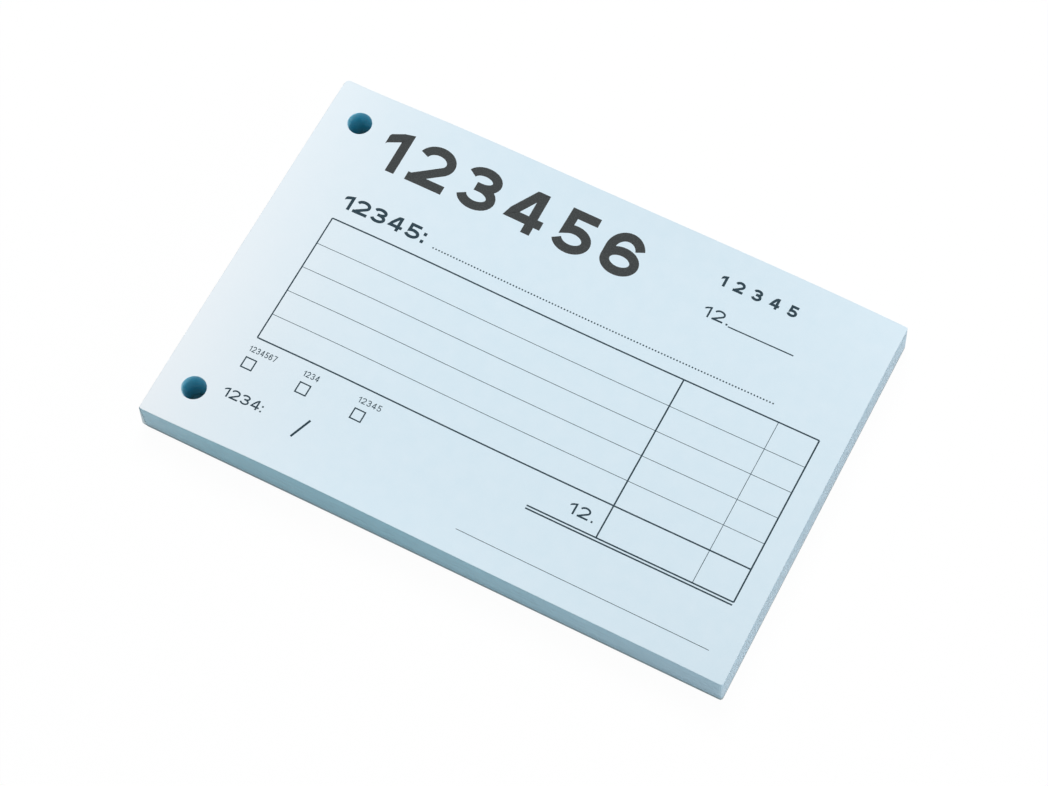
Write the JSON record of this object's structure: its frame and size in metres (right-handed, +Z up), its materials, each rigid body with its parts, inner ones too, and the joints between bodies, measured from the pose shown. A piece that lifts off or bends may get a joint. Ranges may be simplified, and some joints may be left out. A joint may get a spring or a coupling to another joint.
{
  "type": "form pad",
  "caption": "Flat rectangular pad of blue printed form sheets on a greyboard back, glued along one short edge, with two filing holes beside that edge.",
  "frame": {"origin": "on the table, under the middle of the pad's box", "axes": "+X along the lines of the form, from the bound edge to the free short edge; +Y up the page; +Z up, out of the printed face"},
  "size_m": [0.1502, 0.1, 0.0106],
  "materials": {
    "form_paper": "uncoated light blue writing paper, matte",
    "greyboard": "unlined recycled greyboard, matte",
    "padding_glue": "thin flexible film of padding compound, slightly glossy"
  },
  "bodies": {
    "pad": {"backing_board": "greyboard", "padding_glue": "padding_glue", "sheet_bundle_01": "form_paper", "sheet_bundle_02": "form_paper", "sheet_bundle_03": "form_paper", "sheet_bundle_04": "form_paper", "sheet_bundle_05": "form_paper", "sheet_bundle_06": "form_paper", "sheet_bundle_07": "form_paper", "sheet_bundle_08": "form_paper", "sheet_bundle_09": "form_paper", "sheet_bundle_10": "form_paper", "sheet_bundle_11": "form_paper", "sheet_bundle_12": "form_paper", "sheet_bundle_13": "form_paper", "sheet_bundle_14": "form_paper", "sheet_bundle_15": "form_paper", "sheet_bundle_16": "form_paper", "sheet_bundle_17": "form_paper", "sheet_bundle_18": "form_paper", "sheet_bundle_19": "form_paper", "sheet_bundle_20": "form_paper", "sheet_bundle_21": "form_paper", "sheet_bundle_22": "form_paper", "sheet_bundle_23": "form_paper", "sheet_bundle_24": "form_paper", "sheet_bundle_25": "form_paper", "sheet_bundle_26": "form_paper", "sheet_bundle_27": "form_paper", "sheet_bundle_28": "form_paper", "sheet_bundle_29": "form_paper", "sheet_bundle_30": "form_paper", "sheet_bundle_31": "form_paper", "sheet_bundle_32": "form_paper", "sheet_bundle_33": "form_paper", "sheet_bundle_34": "form_paper", "sheet_bundle_35": "form_paper", "sheet_bundle_36": "form_paper", "sheet_bundle_37": "form_paper", "sheet_bundle_38": "form_paper", "sheet_bundle_39": "form_paper", "sheet_bundle_40": "form_paper", "sheet_bundle_41": "form_paper", "sheet_bundle_42": "form_paper", "sheet_bundle_43": "form_paper", "sheet_bundle_44": "form_paper", "sheet_bundle_45": "form_paper", "sheet_bundle_46": "form_paper", "sheet_bundle_47": "form_paper", "sheet_bundle_48": "form_paper"},
    "leaf_4": {"form_sheet_4": "form_paper"},
    "leaf_3": {"form_sheet_3": "form_paper"},
    "leaf_2": {"form_sheet_2": "form_paper"},
    "leaf_1": {"form_sheet_1": "form_paper"}
  },
  "joints": [
    {"name": "sheet_4_turn", "type": "hinge", "parent": "pad", "child": "leaf_4", "pos_m": [-0.0749, 0, 0.0106], "axis": [0, -1, 0], "range_deg": [0, 180]},
    {"name": "sheet_3_turn", "type": "hinge", "parent": "leaf_4", "child": "leaf_3", "pos_m": [-0.0749, 0, 0.0106], "axis": [0, -1, 0], "range_deg": [0, 180]},
    {"name": "sheet_2_turn", "type": "hinge", "parent": "leaf_3", "child": "leaf_2", "pos_m": [-0.0749, 0, 0.0106], "axis": [0, -1, 0], "range_deg": [0, 180]},
    {"name": "sheet_1_turn", "type": "hinge", "parent": "leaf_2", "child": "leaf_1", "pos_m": [-0.0749, 0, 0.0106], "axis": [0, -1, 0], "range_deg": [0, 180]}
  ]
}
